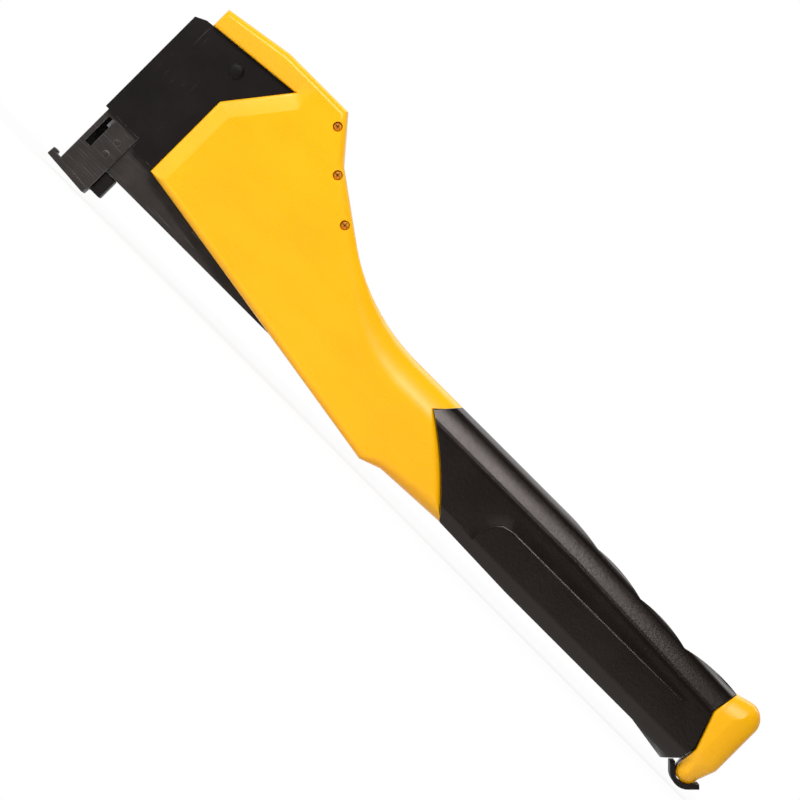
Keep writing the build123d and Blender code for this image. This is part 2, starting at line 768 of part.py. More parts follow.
# Latch: a strap bent round the lobe, on a tongue in the lobe's slot that turns on a pin
with BuildPart() as latch_pin:
    cross_rod(lobe_x, lobe_height, latch_pin_radius, pin_span)
latch_pin.part.label = "latch_pin"
export_step(latch_pin.part, "parts/latch_pin.step")

latch_inside = lobe_radius + slide_gap
latch_outside = latch_inside + latch_sheet
strap_plane = Plane((lobe_x, 0, lobe_height), x_dir=(1, 0, -1), z_dir=(0, -1, 0))
with BuildPart() as tail_latch:
    with BuildSketch(strap_plane):
        with BuildLine():
            Polyline(
                (0, -latch_inside),
                (-latch_front_arm, -latch_inside),
                (-latch_front_arm, -latch_outside),
                (0, -latch_outside),
            )
            RadiusArc((0, -latch_outside), (latch_outside, 0), -latch_outside)
            Polyline(
                (latch_outside, 0),
                (latch_outside, latch_rear_arm),
                (latch_inside, latch_rear_arm),
                (latch_inside, 0),
            )
            RadiusArc((latch_inside, 0), (0, -latch_inside), latch_inside)
        make_face()
    extrude(amount=latch_width / 2, both=True)
    with BuildSketch(strap_plane):
        Circle(latch_eye)
        tongue_reach = latch_outside - latch_sheet / 2
        Polygon((0, 0), (0, -tongue_reach), (tongue_reach, 0), align=None)
    extrude(amount=latch_tongue / 2, both=True)
    eye_bore = latch_pin_radius + running_gap
    cross_rod(lobe_x, lobe_height, eye_bore, (-latch_width, latch_width), Mode.SUBTRACT)
tail_latch.part.label = "tail_latch"
export_step(tail_latch.part, "parts/tail_latch.step")
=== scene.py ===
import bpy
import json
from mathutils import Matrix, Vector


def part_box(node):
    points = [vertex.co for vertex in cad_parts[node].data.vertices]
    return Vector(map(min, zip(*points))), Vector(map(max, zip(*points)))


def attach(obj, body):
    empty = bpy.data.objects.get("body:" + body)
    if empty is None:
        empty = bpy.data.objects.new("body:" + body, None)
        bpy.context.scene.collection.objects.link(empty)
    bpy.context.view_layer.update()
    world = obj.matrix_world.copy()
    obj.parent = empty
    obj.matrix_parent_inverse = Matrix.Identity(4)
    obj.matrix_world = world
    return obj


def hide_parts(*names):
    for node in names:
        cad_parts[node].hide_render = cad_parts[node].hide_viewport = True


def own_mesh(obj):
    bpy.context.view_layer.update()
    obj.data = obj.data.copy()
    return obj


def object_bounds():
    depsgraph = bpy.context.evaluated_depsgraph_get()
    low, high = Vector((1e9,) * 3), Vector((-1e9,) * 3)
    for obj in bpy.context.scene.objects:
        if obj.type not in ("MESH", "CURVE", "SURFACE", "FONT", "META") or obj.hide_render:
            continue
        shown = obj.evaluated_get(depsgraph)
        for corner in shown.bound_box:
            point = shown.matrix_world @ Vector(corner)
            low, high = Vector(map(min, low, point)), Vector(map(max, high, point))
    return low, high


bl_info = {
    "name": "Hammer tacker looks",
    "version": (1, 0, 0),
    "blender": (4, 5, 0),
    "location": "View3D > Sidebar > Tacker",
    "description": "Dresses the packed hammer tacker with finished pieces, materials, light and camera",
    "category": "Object",
}

import json
import math
from contextlib import contextmanager

import bmesh
import bpy
from mathutils import Matrix, Vector
from mathutils.geometry import delaunay_2d_cdt

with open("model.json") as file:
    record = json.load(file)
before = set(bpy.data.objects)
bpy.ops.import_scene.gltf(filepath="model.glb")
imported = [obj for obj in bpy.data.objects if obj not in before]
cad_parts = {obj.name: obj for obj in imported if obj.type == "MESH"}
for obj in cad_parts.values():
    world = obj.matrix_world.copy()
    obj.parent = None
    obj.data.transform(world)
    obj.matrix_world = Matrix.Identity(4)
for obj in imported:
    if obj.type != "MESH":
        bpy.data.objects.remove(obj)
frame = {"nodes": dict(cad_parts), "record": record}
CAD_BOX = [list(corner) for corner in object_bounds()]
MM = 0.001


# Node trees: a socket that takes part in Python expressions, and a tree that adds its nodes


def math_method(operation, swapped=False):
    """A method of Flow that adds a Math node."""
    def method(flow, other=0.0):
        node = flow.tree.nodes.new("ShaderNodeMath")
        node.operation = operation
        for place, value in zip(node.inputs, (other, flow) if swapped else (flow, other)):
            feed(flow.tree, place, value)
        return Flow(flow.tree, node.outputs[0])

    return method


class Flow:
    """One output socket of a node tree, with the arithmetic that the trees use."""

    __add__ = math_method("ADD")
    __radd__ = math_method("ADD", swapped=True)
    __sub__ = math_method("SUBTRACT")
    __rsub__ = math_method("SUBTRACT", swapped=True)
    __mul__ = math_method("MULTIPLY")
    __rmul__ = math_method("MULTIPLY", swapped=True)
    __truediv__ = math_method("DIVIDE")
    __gt__ = math_method("GREATER_THAN")
    __abs__ = math_method("ABSOLUTE")
    at_least = math_method("MAXIMUM")

    def __init__(self, tree, socket):
        self.tree = tree
        self.socket = socket


def feed(tree, place, value):
    """Links a Flow to a socket, or sets a plain value on it."""
    if isinstance(value, Flow):
        tree.links.new(value.socket, place)
    else:
        place.default_value = value


class Nodes:
    """A node tree, and the method that adds nodes to it."""

    def __init__(self, tree):
        self.tree = tree
        tree.nodes.clear()

    def node(self, kind, settings, sockets, output=0):
        """Adds a node. Sockets are given by name, or by number where names repeat."""
        made = self.tree.nodes.new(kind)
        for name, value in settings.items():
            setattr(made, name, value)
        for name, value in sockets.items():
            feed(self.tree, made.inputs[name], value)
        return Flow(self.tree, made.outputs[output]) if made.outputs else None


class Shading(Nodes):
    """The tree of a material or of the world."""

    def mix(self, share, first, second):
        """A colour between two colours."""
        return self.node("ShaderNodeMix", {"data_type": "RGBA"}, {0: share, 6: first, 7: second}, 2)

    def blend(self, share, first, second):
        """A shader between two shaders."""
        return self.node("ShaderNodeMixShader", {}, {0: share, 1: first, 2: second})

    def ray(self, kind):
        """1 for one kind of ray, 0 for the others."""
        return self.node("ShaderNodeLightPath", {}, {}, f"Is {kind} Ray")

    def seen(self):
        """1 for the rays that show the surface itself, 0 for those that only carry its light."""
        return self.ray("Camera").at_least(self.ray("Glossy")).at_least(self.ray("Transmission"))


class Finish(Shading):
    """A material of one Principled surface, patterned in the part's own coordinates."""

    BEVEL_SAMPLES = 4
    EDGE_STARTS, EDGE_FULL = 0.02, 0.22

    def __init__(self, name):
        self.material = bpy.data.materials.new(name)
        self.material.use_nodes = True
        super().__init__(self.material.node_tree)
        self.place = self.node("ShaderNodeTexCoord", {}, {}, "Object")

    def noise(self, size, detail=2.0, stretch=None):
        """Cloudy noise between 0 and 1 whose blotches are about size metres across."""
        where = self.place
        if stretch:
            where = self.node("ShaderNodeMapping", {}, {"Vector": where, "Scale": stretch})
        return self.node("ShaderNodeTexNoise", {}, {"Vector": where, "Scale": 1.0 / size, "Detail": detail})

    def pebbles(self, size):
        """Distance to the nearest of many seeded points, for a moulded grain."""
        sockets = {"Vector": self.place, "Scale": 1.0 / size}
        return self.node("ShaderNodeTexVoronoi", {"feature": "SMOOTH_F1"}, sockets, "Distance")

    def band(self, value, low, high):
        """0 below low, 1 above high and a straight rise between."""
        ranged = {"Value": value, "From Min": low, "From Max": high}
        return self.node("ShaderNodeMapRange", {"clamp": True}, ranged)

    def edges(self, radius):
        """Near 1 at the piece's edges, 0 on its flats."""
        rounded = self.node("ShaderNodeBevel", {"samples": self.BEVEL_SAMPLES}, {"Radius": radius})
        plain = self.node("ShaderNodeNewGeometry", {}, {}, "Normal")
        alike = {0: rounded, 1: plain}
        turn = 1.0 - self.node("ShaderNodeVectorMath", {"operation": "DOT_PRODUCT"}, alike, "Value")
        return self.band(turn, self.EDGE_STARTS, self.EDGE_FULL)

    def surface(self, colour, rough, others, height, depth):
        """Ends the material with a bump of that depth in metres."""
        bump = self.node("ShaderNodeBump", {}, {"Height": height, "Distance": depth, "Strength": 1.0})
        sockets = {"Base Color": colour, "Roughness": rough, "Normal": bump, **others}
        shader = self.node("ShaderNodeBsdfPrincipled", {}, sockets)
        self.node("ShaderNodeOutputMaterial", {}, {"Surface": shader})
        return self.material


# Finishes: noise sizes, edge widths and bump depths are in metres


def srgb(red, green, blue):
    """A linear colour from its written sRGB values, each from 0 to 255."""
    def linear(level):
        share = level / 255.0
        return share / 12.92 if share <= 0.04045 else ((share + 0.055) / 1.055) ** 2.4

    return (linear(red), linear(green), linear(blue), 1.0)


def grey(level):
    return (level, level, level, 1.0)


def toned(colour, shares=1.0, lift=0.0):
    """A colour with its channels scaled, by one share or by one each, and lifted."""
    each = shares if isinstance(shares, tuple) else (shares,) * 3
    return (*(min(level * share + lift, 1.0) for level, share in zip(colour, each)), 1.0)


def make_yellow_plastic(look):
    """Satin glass-filled nylon: fine spark grain, faint flow mottling, pale rubbed edges and scuffs."""
    f = Finish("yellow_shell_plastic")
    base = toned(look.shell_colour)
    deep = toned(base, (0.96, 0.91, 0.8))
    pale = toned(base, (1.04, 1.16, 3.0))
    cloud = f.noise(0.035, 3.0)
    flow = f.noise(0.010, 4.0, (0.35, 1.0, 1.0))
    fine = f.noise(0.0009, 2.0)
    rubbed = f.edges(0.0007) * f.band(f.noise(0.006, 4.0), 0.42, 0.62)
    scratch = f.band(f.noise(0.0011, 2.0, (0.06, 1.0, 1.0)), 0.66, 0.70) * f.band(cloud, 0.50, 0.62)
    colour = f.mix(f.band(cloud * 0.6 + flow * 0.4, 0.38, 0.66), deep, base)
    colour = f.mix(rubbed * 0.55, colour, pale)
    colour = f.mix(scratch * 0.16, colour, pale)
    rough = 0.22 + 0.08 * flow + 0.04 * fine + 0.12 * scratch
    grain = f.pebbles(0.00085) * 0.6 + fine * 0.5 + scratch * 0.3
    return f.surface(colour, rough, {"Specular IOR Level": 0.4, "IOR": 1.5}, grain, 0.000022)


def make_grip_rubber(look):
    """Warm black over-moulded rubber: pebble grain, dull dusty patches and polished crests."""
    f = Finish("black_grip_rubber")
    base = toned(look.grip_colour)
    dusty = toned(base, 1.7, 0.0015)
    warm_gloss = (1.0, 0.89, 0.85, 1.0)
    cloud = f.noise(0.022, 4.0)
    speck = f.noise(0.0016, 3.0)
    worn = f.edges(0.0012) * f.band(f.noise(0.009, 3.0), 0.40, 0.66)
    colour = f.mix(f.band(cloud, 0.46, 0.72) * 0.45 + f.band(speck, 0.58, 0.78) * 0.25, base, dusty)
    colour = f.mix(worn * 0.5, colour, dusty)
    rough = 0.17 + 0.08 * cloud + 0.06 * speck - 0.04 * worn
    grain = f.pebbles(0.0011) * 0.8 + f.noise(0.0006, 2.0) * 0.35
    gloss = {"Specular IOR Level": 0.42, "Specular Tint": warm_gloss, "IOR": 1.5}
    return f.surface(colour, rough, gloss, grain, 0.00002)


def make_black_nylon(look):
    """Plain black nylon mouldings, dull and slightly mottled."""
    f = Finish("black_nylon")
    base = toned(look.grip_colour)
    lifted = toned(base, 1.8, 0.003)
    cloud = f.noise(0.008, 4.0)
    edge = f.edges(0.0004)
    colour = f.mix(f.band(cloud, 0.42, 0.70) * 0.6 + edge * 0.4, base, lifted)
    rough = 0.40 + 0.16 * cloud
    return f.surface(colour, rough, {"Specular IOR Level": 0.4}, f.noise(0.0005, 3.0), 0.00004)


def make_black_paint(look):
    """Black stoved paint on steel: orange-peel skin, and bare steel at the rubbed edges."""
    f = Finish("black_painted_steel")
    base = toned(look.paint_colour)
    lifted = toned(base, 1.9, 0.004)
    cloud = f.noise(0.016, 4.0)
    peel = f.noise(0.0017, 2.0)
    patches = f.band(f.noise(0.0035, 5.0), 0.50, 0.60)
    bare = f.edges(0.00045) * patches
    scuff = f.band(f.noise(0.0008, 3.0, (1.0, 1.0, 0.05)), 0.66, 0.71) * f.band(cloud, 0.46, 0.60)
    colour = f.mix(f.band(cloud, 0.40, 0.70) * 0.5, base, lifted)
    colour = f.mix(scuff * 0.35, colour, grey(0.10))
    colour = f.mix(bare * 0.75, colour, grey(0.26))
    rough = 0.40 + 0.14 * cloud + 0.08 * peel + 0.06 * scuff
    height = peel * 0.8 + cloud * 0.3 - bare * 0.5
    return f.surface(colour, rough, {"Metallic": bare * 0.8, "Specular IOR Level": 0.16}, height, 0.00007)


def make_dark_steel(look):
    """Phosphated spring-hard sheet: grainy dark grey, brighter where staples and timber rub it."""
    f = Finish("phosphated_steel")
    base = toned(look.steel_colour)
    lifted = toned(base, 1.7)
    cloud = f.noise(0.010, 5.0)
    crystal = f.noise(0.0005, 3.0)
    rubbed = f.edges(0.0005) * f.band(f.noise(0.004, 4.0), 0.40, 0.58)
    drawn = f.band(f.noise(0.0006, 2.0, (0.04, 1.0, 1.0)), 0.60, 0.70)
    colour = f.mix(f.band(cloud, 0.36, 0.68) * 0.7 + crystal * 0.25, base, lifted)
    colour = f.mix(drawn * 0.18, colour, grey(0.22))
    colour = f.mix(rubbed * 0.7, colour, grey(0.34))
    rough = 0.46 + 0.14 * crystal - 0.12 * rubbed
    others = {"Metallic": 0.55 + 0.4 * rubbed, "Specular IOR Level": 0.4}
    return f.surface(colour, rough, others, crystal * 0.6 + drawn * 0.3, 0.00003)


def make_zinc(look):
    """Bright zinc plate with its faint spangle and hand-dulled patches."""
    f = Finish("zinc_plated_steel")
    base = toned(look.zinc_colour)
    dull = toned(base, 0.66)
    cloud = f.noise(0.006, 4.0)
    spangle = f.pebbles(0.0012)
    edge = f.edges(0.0003)
    colour = f.mix(f.band(cloud, 0.40, 0.68) * 0.7, base, dull)
    colour = f.mix(edge * 0.35, colour, grey(0.75))
    rough = 0.26 + 0.16 * cloud + 0.08 * spangle
    return f.surface(colour, rough, {"Metallic": 0.95 - 0.15 * cloud}, f.noise(0.0005, 3.0), 0.00002)


def make_yellow_zinc_and_dimple_shade(look):
    """Yellow passivated screws: dull gold, browner in the blotches of its stain. The darker orange of the
    heads is partly their own finish and partly painted shade, so that the sunk heads read as shaded
    dimples.
    """
    f = Finish("yellow_passivated_steel")
    base = toned(look.screw_colour_and_dimple_shade)
    stain = toned(base, (0.72, 0.62, 0.6))
    cloud = f.noise(0.0012, 3.0)
    edge = f.edges(0.0002)
    colour = f.mix(f.band(cloud, 0.42, 0.66) * 0.8, base, stain)
    colour = f.mix(edge * 0.3, colour, base)
    rough = 0.42 + 0.14 * cloud
    return f.surface(colour, rough, {"Metallic": 0.15 + 0.1 * cloud}, f.noise(0.0004, 2.0), 0.00002)


def make_spring_steel(look):
    """Oil-tempered wire and ground blade: drawn lines, blue-grey with a thin oil film."""
    f = Finish("tempered_steel")
    base = toned(look.spring_colour)
    dark = toned(base, 0.5)
    cloud = f.noise(0.005, 4.0)
    lines = f.noise(0.0004, 3.0, (1.0, 1.0, 0.06))
    colour = f.mix(f.band(cloud, 0.42, 0.66) * 0.8, base, dark)
    colour = f.mix(f.edges(0.0003) * 0.4, colour, grey(0.62))
    rough = 0.24 + 0.16 * lines + 0.10 * cloud
    return f.surface(colour, rough, {"Metallic": 0.92 + 0.08 * cloud}, lines, 0.000015)


FINISHES = {
    "yellow_shell": make_yellow_plastic,
    "grip_rubber": make_grip_rubber,
    "black_plastic": make_black_nylon,
    "black_steel": make_black_paint,
    "dark_steel": make_dark_steel,
    "zinc_steel": make_zinc,
    "yellow_zinc": make_yellow_zinc_and_dimple_shade,
    "hard_steel": make_spring_steel,
}
SLOTS = {part["node"]: part["material_slot"] for part in frame["record"]["subparts"]}
made_finishes = {}


def finish_of(node):
    """The material of the node's slot, made once."""
    slot = SLOTS[node]
    if slot not in made_finishes:
        made_finishes[slot] = FINISHES[slot](bpy.context.scene.tacker_looks)
    return made_finishes[slot]


# Pieces: meshes from the frame, reliefs, cuts and hand-over to the bodies

BODIES = {node: body for body, nodes in frame["record"]["behaviour"]["bodies"].items() for node in nodes}

# Points closer than these, in metres, are taken for one
SAME_POINT = 2e-6
SAME_CUT_POINT = 4e-6
SAME_PLAN_POINT = 1e-6
SLIVER = 1e-7

# Angles in degrees: faces that count as one plane, and edges that count as hard
SAME_PLANE = 0.1
SAME_FLAT = 1.0
HARD_EDGE = 35.0
EASE_SEGMENTS = 2

# Two faces above this area, in square metres, are creased from this angle
FLAT_AREA = 3e-5
FLAT_CREASE = 4.0
FLAT_WEIGHT = 80

# Angles in degrees above which other edges are creased
SHELL_CREASE = 32.0
MOULDING_CREASE = 38.0
EASED_CREASE = 40.0
SCREW_CREASE = 40.0
DOME_CREASE = 45.0
WIRE_CREASE = 50.0


def new_object(name, mesh):
    made = bpy.data.objects.new(name, mesh)
    bpy.context.collection.objects.link(made)
    return made


def from_bmesh(name, shape):
    mesh = bpy.data.meshes.new(name)
    shape.to_mesh(mesh)
    shape.free()
    return new_object(name, mesh)


@contextmanager
def editing(piece):
    """The piece's mesh as a bmesh, written back at the end."""
    shape = bmesh.new()
    shape.from_mesh(piece.data)
    yield shape
    shape.to_mesh(piece.data)
    shape.free()


def cad_copy(name, node):
    """An object with the node's mesh, its loose triangles merged into a closed shape."""
    shape = bmesh.new()
    shape.from_mesh(frame["nodes"][node].data)
    bmesh.ops.remove_doubles(shape, verts=shape.verts, dist=SAME_POINT)
    bmesh.ops.dissolve_degenerate(shape, edges=shape.edges, dist=SLIVER)
    return from_bmesh(name, shape)


def bake(piece):
    """Applies the piece's modifiers to its mesh."""
    ready = piece.evaluated_get(bpy.context.evaluated_depsgraph_get())
    mesh = bpy.data.meshes.new_from_object(ready)
    piece.modifiers.clear()
    piece.data = mesh
    mesh.name = piece.name


def dissolve_flats(shape, angle):
    """Joins neighbouring faces that lie in one plane to within an angle in degrees."""
    bmesh.ops.dissolve_limit(shape, angle_limit=math.radians(angle), verts=shape.verts, edges=shape.edges)


def keep_common(piece, other):
    """Keeps what the piece shares with another object, which is used up, without doubles and slivers."""
    cut = piece.modifiers.new("keep_common", "BOOLEAN")
    cut.operation = "INTERSECT"
    cut.object = other
    cut.solver = "EXACT"
    bake(piece)
    bpy.data.objects.remove(other)
    with editing(piece) as shape:
        bmesh.ops.remove_doubles(shape, verts=shape.verts, dist=SAME_CUT_POINT)
        bmesh.ops.dissolve_degenerate(shape, edges=shape.edges, dist=SAME_CUT_POINT)
        dissolve_flats(shape, SAME_PLANE)


def smooth(piece, crease):
    """Smooth faces with level flats, creased above an angle and where two large flats meet."""
    with editing(piece) as shape:
        loose = [edge for edge in shape.edges if not edge.link_faces]
        bmesh.ops.delete(shape, geom=loose, context="EDGES")
        for face in shape.faces:
            face.smooth = True
        for edge in shape.edges:
            flats = min(face.calc_area() for face in edge.link_faces) > FLAT_AREA
            edge.smooth = edge.calc_face_angle(math.pi) < math.radians(FLAT_CREASE if flats else crease)
    imported = piece.data.attributes.get("custom_normal")
    if imported is not None:
        piece.data.attributes.remove(imported)
    even = piece.modifiers.new("even_normals", "WEIGHTED_NORMAL")
    even.keep_sharp = True
    even.weight = FLAT_WEIGHT
    bake(piece)


def soften(piece, width):
    """Rounds the hard edges of a piece by width metres."""
    with editing(piece) as shape:
        dissolve_flats(shape, SAME_FLAT)
    ease = piece.modifiers.new("ease", "BEVEL")
    ease.width = width
    ease.segments = EASE_SEGMENTS
    ease.limit_method = "ANGLE"
    ease.angle_limit = math.radians(HARD_EDGE)
    ease.use_clamp_overlap = True
    ease.harden_normals = False
    bake(piece)


def hand_over(piece, node):
    """Gives the piece its finish, and lets it ride on the body of the node that it replaces."""
    piece.data.materials.clear()
    piece.data.materials.append(finish_of(node))
    for face in piece.data.polygons:
        face.material_index = 0
    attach(piece, BODIES[node])
    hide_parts(node)


def mould(name, node, patch, crease):
    """A finished piece that is the node, shaped by a relief."""
    piece = cad_copy(name, node)
    keep_common(piece, patch)
    smooth(piece, crease)
    hand_over(piece, node)


SHARPEST_MITRE = 0.35
ROUND_STEPS = 7


def offset_line(points, distance):
    """A polyline moved to its left by distance, mitred at its corners."""
    moved = []
    for n, point in enumerate(points):
        before = (points[n] - points[n - 1]).normalized() if n else None
        after = (points[n + 1] - points[n]).normalized() if n + 1 < len(points) else None
        ways = [way for way in (before, after) if way]
        normals = [Vector((-way.y, way.x)) for way in ways]
        lean = sum(normals, Vector((0.0, 0.0))).normalized()
        moved.append(point + lean * (distance / max(lean.dot(normals[0]), SHARPEST_MITRE)))
    return moved


class Ridge:
    """A line on the side face whose left side drops by a profile of (distance, drop) pairs.

    points are in millimetres, the rest in metres. grow scales the profile at each point. An apron
    adds one level line on the right, which keeps the faces there short."""

    def __init__(self, points, profile, grow=None, apron=0.0):
        self.points = [Vector(point) for point in millimetres(points)]
        self.profile = profile
        self.grow = grow or [1.0] * len(points)
        self.apron = apron

    def lines(self):
        """The break lines of the profile, for the triangulation."""
        for distance, _ in self.profile:
            moved = [offset_line(self.points, distance * scale) for scale in self.grow]
            yield [line[n] for n, line in enumerate(moved)]
        if self.apron:
            yield offset_line(self.points, -self.apron)

    def drop(self, spot):
        """How far the surface lies below its flat at a spot."""
        best, scale = None, 1.0
        for n in range(len(self.points) - 1):
            start, run = self.points[n], self.points[n + 1] - self.points[n]
            share = min(max((spot - start).dot(run) / run.length_squared, 0.0), 1.0)
            gap = (spot - start - run * share).length
            if best is None or gap < best:
                best = gap
                scale = self.grow[n] + (self.grow[n + 1] - self.grow[n]) * share
        reach = best / scale
        for (near, high), (far, low) in zip(self.profile, self.profile[1:]):
            if reach <= far:
                return scale * (high + (low - high) * (reach - near) / (far - near))
        return 0.0


def relief(name, corners, ridges, half, back, spacing):
    """A closed solid over a rectangle of the XZ plane, whose side faces dip along the ridges.

    corners are two opposite corners in millimetres. The front lies at Y = -half and dips towards
    the middle plane; the back lies level at Y = back, or mirrors the front where back is None."""
    spots, edges = [], []

    def add_line(line):
        for start, end in zip(line, line[1:]):
            steps = max(1, math.ceil((end - start).length / spacing))
            first = len(spots)
            spots.extend(start + (end - start) * (n / steps) for n in range(steps + 1))
            edges.extend((n, n + 1) for n in range(first, first + steps))

    low, high = (Vector(corner) for corner in millimetres(corners))
    add_line([low, Vector((high.x, low.y)), high, Vector((low.x, high.y)), low])
    for ridge in ridges:
        for line in ridge.lines():
            add_line(line)
    found, _, triangles, _, _, _ = delaunay_2d_cdt(spots, edges, [], 0, SAME_PLAN_POINT)
    slack = Vector((SAME_PLAN_POINT, SAME_PLAN_POINT))
    least, most = low - slack, high + slack
    inside = [least.x <= p.x <= most.x and least.y <= p.y <= most.y for p in found]
    kept = [corner for corner in triangles if all(inside[n] for n in corner)]
    shape = bmesh.new()
    dips = [max(ridge.drop(spot) for ridge in ridges) for spot in found]
    front = [shape.verts.new((p.x, -half + dip, p.y)) for p, dip in zip(found, dips)]
    behind = [(half - dip if back is None else back) for dip in dips]
    rear = [shape.verts.new((p.x, y, p.y)) for p, y in zip(found, behind)]
    rim = {}
    for a, b, c in kept:
        shape.faces.new((front[a], front[b], front[c]))
        shape.faces.new((rear[c], rear[b], rear[a]))
        for edge in ((a, b), (b, c), (c, a)):
            if edge[::-1] in rim:
                del rim[edge[::-1]]
            else:
                rim[edge] = True
    for a, b in rim:
        shape.faces.new((front[b], front[a], rear[a], rear[b]))
    loose = [vert for vert in shape.verts if not vert.link_faces]
    bmesh.ops.delete(shape, geom=loose, context="VERTS")
    bmesh.ops.recalc_face_normals(shape, faces=shape.faces)
    return from_bmesh(name, shape)


def mirror(piece):
    """Turns a near-side shape into its far-side twin."""
    with editing(piece) as shape:
        bmesh.ops.scale(shape, vec=(1.0, -1.0, 1.0), verts=shape.verts)
        bmesh.ops.recalc_face_normals(shape, faces=shape.faces)


def millimetres(points):
    return [(x * MM, z * MM) for x, z in points]


def rounding(radius):
    """Profile of a quarter circle, in metres."""
    turns = [n / ROUND_STEPS * math.pi / 2 for n in range(ROUND_STEPS + 1)]
    return [(radius * (1 - math.cos(turn)), radius * (1 - math.sin(turn))) for turn in turns]


# Body shells: outlines and (distance, drop) profiles on the side face, in millimetres
NECK_BEND = [(95.0, 60.7), (103.0, 55.6), (111.0, 51.5), (119.0, 48.3), (127.0, 46.0), (136.0, 44.3),
             (145.0, 43.7)]
SPINE = [(0.6, 87.6), (28.9, 92.1), (59.7, 92.1), (73.0, 76.6), *NECK_BEND, (169.5, 43.7)]
SPINE_ROUND = [0.20, 0.20, 0.20, 0.24, 0.30, 0.40, 0.52, 0.66, 0.80, 0.92, 1.0, 1.0]
SHOULDER = [(0.0, 8.4), (0.5, 6.9), (1.2, 5.6), (2.0, 4.62), (2.9, 3.86), (3.9, 3.22), (5.0, 2.62),
            (6.2, 2.06), (7.5, 1.53), (8.9, 1.03), (10.3, 0.62), (11.7, 0.31), (13.0, 0.12), (14.5, 0.03),
            (16.0, 0.0)]
WINDOW = [(0.6, 79.2), (40.6, 83.2), (22.8, 60.6), (22.8, 23.4)]
WINDOW_EDGE = [(0.0, 2.9), (0.4, 2.15), (1.3, 1.65), (6.6, 0.05), (7.2, 0.0)]
UNDERSIDE = [(22.8, 23.4), (155.4, 2.3), (163.8, 5.3), (193.8, 6.8)]
UNDERSIDE_ROUND = [0.34, 0.34, 0.6, 1.0]
SHELL_PATCH = ((-6.0, -6.0), (322.0, 97.0))

# Reliefs, in metres: half widths just outside the CAD faces, a back past the middle plane, and spacings
BODY_HALF = 14.04 * MM
CAP_HALF = 13.54 * MM
PAST_MIDDLE = 0.5 * MM
BODY_SPACING = 4.0 * MM
CAP_SPACING = 1.5 * MM
UNDERSIDE_RADIUS = 7.2 * MM
CAP_FRONT_RADIUS = 1.8 * MM
PANEL_APRON = 5.0 * MM


class TACKER_OT_shells(bpy.types.Operator):
    """Makes the two yellow body halves, with bevelled window edges and a rounded spine"""

    bl_idname = "tacker.shells"
    bl_label = "Body shells"

    def execute(self, context):
        ridges = [
            Ridge(WINDOW, millimetres(WINDOW_EDGE)),
            Ridge(SPINE[::-1], millimetres(SHOULDER), SPINE_ROUND[::-1]),
            Ridge(UNDERSIDE, rounding(UNDERSIDE_RADIUS), UNDERSIDE_ROUND),
        ]
        for node, far in (("body_shell_left", False), ("body_shell_right", True)):
            patch = relief("shell_patch", SHELL_PATCH, ridges, BODY_HALF, PAST_MIDDLE, BODY_SPACING)
            if far:
                mirror(patch)
            mould(f"{node}_moulding", node, patch, SHELL_CREASE)
        return {"FINISHED"}


# Grip sleeve, in millimetres
GRIP_PANEL = [(306.0, 24.0), (216.5, 24.2), (212.0, 23.2), (208.8, 20.4), (207.4, 16.4), (207.0, 11.0),
              (206.8, 3.0)]
GRIP_PANEL_FADE = [0.2, 0.9, 1.0, 1.0, 0.9, 0.4, 0.2]
GRIP_LIP = [(0.0, 0.55), (0.45, 0.44), (1.5, 0.04), (1.7, 0.0)]
GRIP_TOP = [(326.0, 40.0), (241.0, 43.7), (150.0, 43.7)]
GRIP_SHOULDER = [(0.0, 7.39), (0.39, 6.16), (1.01, 4.93), (1.79, 3.92), (2.69, 3.14), (3.58, 2.6),
                 (4.48, 2.2), (5.6, 1.78), (6.72, 1.4), (7.84, 1.04), (8.96, 0.71), (10.08, 0.4),
                 (11.2, 0.18), (12.32, 0.06), (13.66, 0.0)]
GRIP_PATCH = ((155.0, -2.0), (326.0, 48.0))


class TACKER_OT_grip(bpy.types.Operator):
    """Makes the rubber sleeve, with its side panels sunk below a shallow lip"""

    bl_idname = "tacker.grip"
    bl_label = "Grip sleeve"

    def execute(self, context):
        ridges = [
            Ridge(GRIP_PANEL, millimetres(GRIP_LIP), GRIP_PANEL_FADE, PANEL_APRON),
            Ridge(GRIP_TOP, millimetres(GRIP_SHOULDER)),
        ]
        patch = relief("grip_patch", GRIP_PATCH, ridges, BODY_HALF, None, BODY_SPACING)
        mould("grip_sleeve_rubber", "grip_sleeve", patch, MOULDING_CREASE)
        return {"FINISHED"}


# End cap, in millimetres
CAP_FRONT = [(320.0, 40.3), (317.7, 29.8), (323.05, 14.7), (322.7, 6.6)]
CAP_BACK = [(322.7, 6.6), (323.4, 4.2), (325.2, 2.5), (327.3, 2.0), (329.4, 2.5), (331.2, 4.2),
            (331.9, 6.6), (334.7, 14.0), (334.7, 35.2), (333.9, 38.2), (332.0, 40.6), (329.8, 41.8),
            (327.3, 42.2), (320.0, 40.3)]
PILLOW = [(0.0, 5.0), (0.6, 3.7), (1.5, 2.75), (2.8, 1.95), (4.2, 1.35), (5.8, 0.82), (7.4, 0.4),
          (8.8, 0.12), (10.0, 0.0)]
CAP_PATCH = ((312.0, -2.0), (340.0, 47.0))


class TACKER_OT_end_cap(bpy.types.Operator):
    """Makes the yellow butt cap as a pillow with rounded edges all round"""

    bl_idname = "tacker.end_cap"
    bl_label = "End cap"

    def execute(self, context):
        ridges = [
            Ridge(CAP_FRONT, rounding(CAP_FRONT_RADIUS)),
            Ridge(CAP_BACK, millimetres(PILLOW)),
        ]
        patch = relief("cap_patch", CAP_PATCH, ridges, CAP_HALF, None, CAP_SPACING)
        mould("end_cap_moulding", "end_cap", patch, MOULDING_CREASE)
        return {"FINISHED"}


